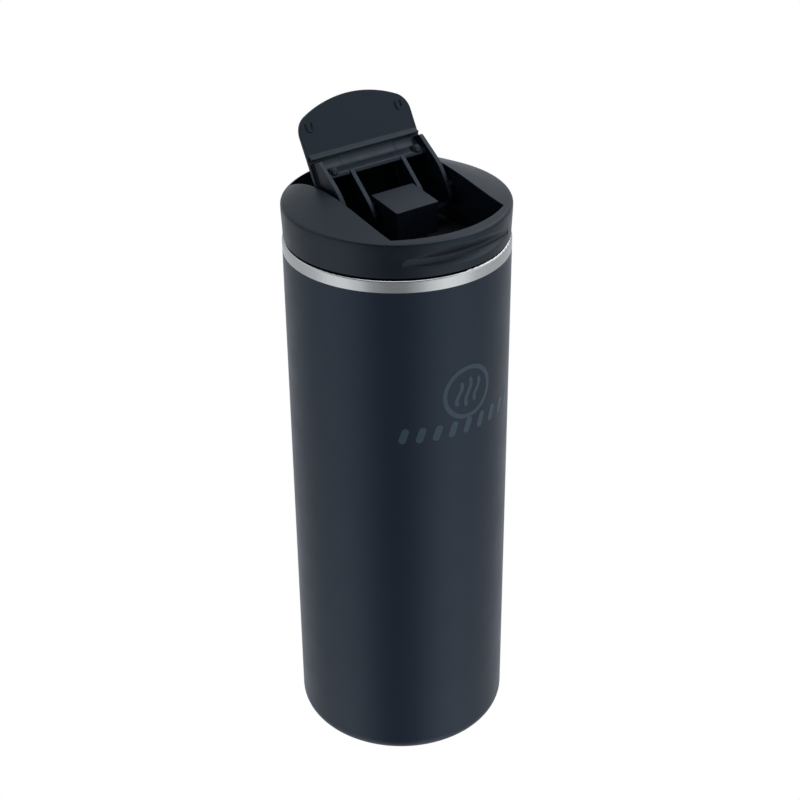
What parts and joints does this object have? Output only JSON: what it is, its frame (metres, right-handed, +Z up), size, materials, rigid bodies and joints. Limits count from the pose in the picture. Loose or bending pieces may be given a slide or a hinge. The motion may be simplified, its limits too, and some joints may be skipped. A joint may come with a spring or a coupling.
{
  "type": "insulated travel mug",
  "caption": "Slim vacuum-insulated steel travel mug with a screw-in lid, a flip-up flap and a stopper that the flap lifts.",
  "frame": {"origin": "centre of the base ring, on the surface the mug stands on", "axes": "+Z up the mug's axis, -Y towards the drinking side, X along the flap's hinge; the flap is open at rest"},
  "size_m": [0.073, 0.073, 0.2235],
  "materials": {
    "bare_steel": "turned and brushed stainless steel",
    "core_plastic": "satin moulded black",
    "flap_plastic": "satin moulded, near-black navy",
    "foil": "bright foil",
    "getter_metal": "sintered grey metal",
    "inner_steel": "drawn stainless steel, electropolished",
    "lid_plastic": "satin moulded, near-black navy",
    "pin_steel": "ground stainless steel",
    "powder_coat": "fine matt powder coat, near-black navy",
    "screw_steel": "black oxide steel",
    "silicone": "matt silicone",
    "solder_glass": "glassy bead"
  },
  "bodies": {
    "mug": {"outer_shell": "powder_coat", "shell_bottom": "inner_steel", "base_cap": "bare_steel", "vacuum_plug": "solder_glass", "getter": "getter_metal", "inner_liner": "bare_steel", "radiation_foil": "foil"},
    "lid_stage": {"lid_gasket": "silicone"},
    "lid": {"lid_cover": "lid_plastic", "lid_core": "core_plastic", "stem_guide": "core_plastic", "hinge_pin_left": "pin_steel", "hinge_pin_right": "pin_steel"},
    "flap": {"flap_body": "flap_plastic", "flap_cover": "lid_plastic", "flap_yoke": "flap_plastic", "flap_screws": "screw_steel"},
    "stopper": {"plunger_cap": "flap_plastic", "plunger_stem": "pin_steel", "stopper_seal": "silicone", "seal_retainer": "core_plastic", "stem_clip": "pin_steel"}
  },
  "joints": [
    {"name": "lid_lift", "type": "slide", "parent": "mug", "child": "lid_stage", "axis": [0, 0, 1], "range_m": [0, 0.02]},
    {"name": "lid_turn", "type": "hinge", "parent": "lid_stage", "child": "lid", "pos_m": [0, 0, 0.18], "axis": [0, 0, 1], "range_deg": [0, 900.1]},
    {"name": "flap_hinge", "type": "hinge", "parent": "lid", "child": "flap", "pos_m": [0, 0.00136, 0.1945], "axis": [1, 0, 0], "range_deg": [0, 127]},
    {"name": "stopper_slide", "type": "slide", "parent": "lid", "child": "stopper", "axis": [0, 0, -1], "range_m": [0, 0.002]}
  ],
  "couplings": [
    {"joint": "lid_turn", "follows": "lid_lift", "rad_per_m": 785.4},
    {"joint": "stopper_slide", "follows": "flap_hinge", "m_per_rad": 0.0009023}
  ]
}
